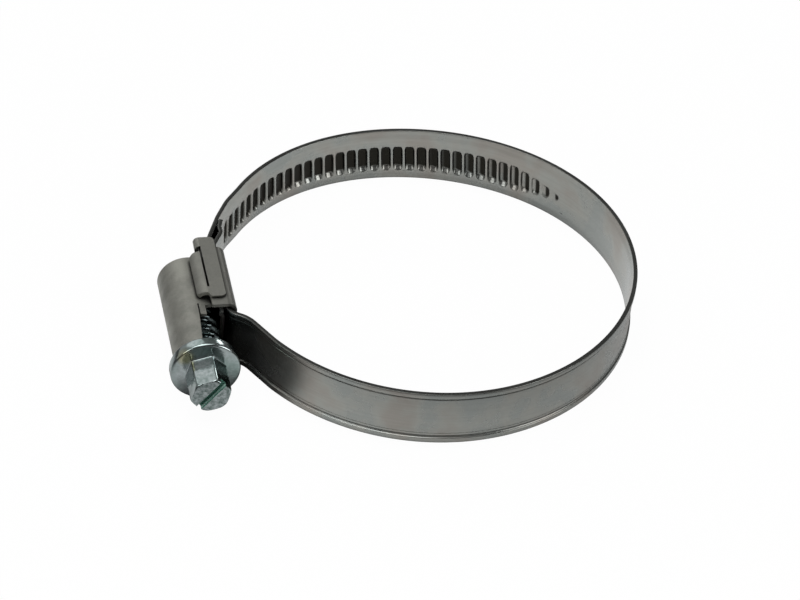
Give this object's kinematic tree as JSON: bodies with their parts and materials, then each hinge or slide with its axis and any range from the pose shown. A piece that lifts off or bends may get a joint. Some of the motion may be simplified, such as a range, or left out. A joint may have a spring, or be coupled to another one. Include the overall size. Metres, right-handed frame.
{
  "type": "worm drive hose clamp",
  "caption": "Worm drive hose clamp: a pressed, unslotted steel band looped through a crimped housing with a slotted hexagon worm screw, opened near its widest.",
  "frame": {"origin": "middle of the clamp's footprint, on the plane it lies on", "axes": "+X from the screw housing to the far side of the loop, -Y towards the screw's head, +Z along the hose's axis"},
  "size_m": [0.0942, 0.0802, 0.0151],
  "materials": {
    "rolled_strip_steel": "bright rolled strip",
    "pressed_sheet_steel": "dull zinc plated sheet",
    "drawn_sheet_steel": "dull zinc plated sheet",
    "zinc_plated_steel": "bright zinc plating with a pale blue-green cast"
  },
  "bodies": {
    "clamp": {"band": "rolled_strip_steel", "saddle_bracket": "pressed_sheet_steel", "screw_cover": "drawn_sheet_steel"},
    "screw": {"worm_screw": "zinc_plated_steel"}
  },
  "joints": [
    {"name": "screw_turn", "type": "hinge", "parent": "clamp", "child": "screw", "pos_m": [-0.04045, -0.00018, 0.00755], "axis": [0, 1, 0], "continuous": true, "deforming": ["band"]}
  ]
}
